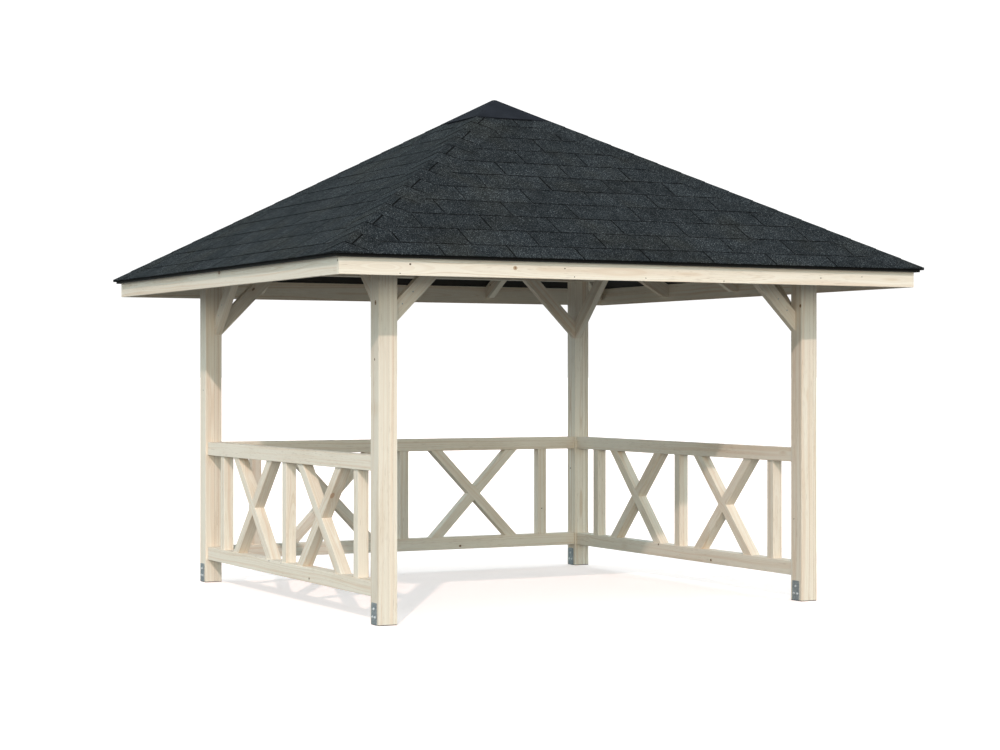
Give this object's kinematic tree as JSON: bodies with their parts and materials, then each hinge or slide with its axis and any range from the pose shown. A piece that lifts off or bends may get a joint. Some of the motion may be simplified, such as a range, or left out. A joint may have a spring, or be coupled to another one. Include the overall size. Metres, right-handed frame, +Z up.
{
  "type": "garden gazebo",
  "caption": "Open square timber gazebo with a shingled pyramid roof, braced corner posts and crossed railings on the left, back and right.",
  "frame": {"origin": "on the ground at the centre of the square plan", "axes": "+Z up, -Y out through the open entrance side, +X to the right seen from the entrance"},
  "size_m": [3.938, 3.938, 3.2244],
  "materials": {
    "timber": "planed untreated spruce, pale, with knots and glued laminations",
    "roof_timber": "sawn spruce in the shade of the roof",
    "roof_boards": "dark stained tongued roof boards",
    "felt_shingles": "charcoal bitumen felt with mineral granules, rough",
    "smooth_felt": "dark blue-grey bitumen felt with fine granules",
    "zinc_steel": "hot-dip galvanised steel, dull"
  },
  "bodies": {
    "root": {"front_left_post": "timber", "front_right_post": "timber", "back_right_post": "timber", "back_left_post": "timber", "post_shoes": "zinc_steel", "front_wall_plate": "timber", "right_wall_plate": "timber", "back_wall_plate": "timber", "left_wall_plate": "timber", "front_braces": "timber", "right_braces": "timber", "back_braces": "timber", "left_braces": "timber", "right_top_rail": "timber", "right_bottom_rail": "timber", "right_balusters": "timber", "right_crossbars_rising": "timber", "right_crossbars_falling": "timber", "back_top_rail": "timber", "back_bottom_rail": "timber", "back_balusters": "timber", "back_crossbars_rising": "timber", "back_crossbars_falling": "timber", "left_top_rail": "timber", "left_bottom_rail": "timber", "left_balusters": "timber", "left_crossbars_rising": "timber", "left_crossbars_falling": "timber", "common_rafters": "roof_timber", "jack_rafters": "roof_timber", "hip_rafters": "roof_timber", "king_block": "roof_timber", "front_fascia": "timber", "front_deck": "roof_boards", "front_shingles": "felt_shingles", "right_fascia": "timber", "right_deck": "roof_boards", "right_shingles": "felt_shingles", "back_fascia": "timber", "back_deck": "roof_boards", "back_shingles": "felt_shingles", "left_fascia": "timber", "left_deck": "roof_boards", "left_shingles": "felt_shingles", "apex_cap": "smooth_felt"}
  },
  "joints": []
}
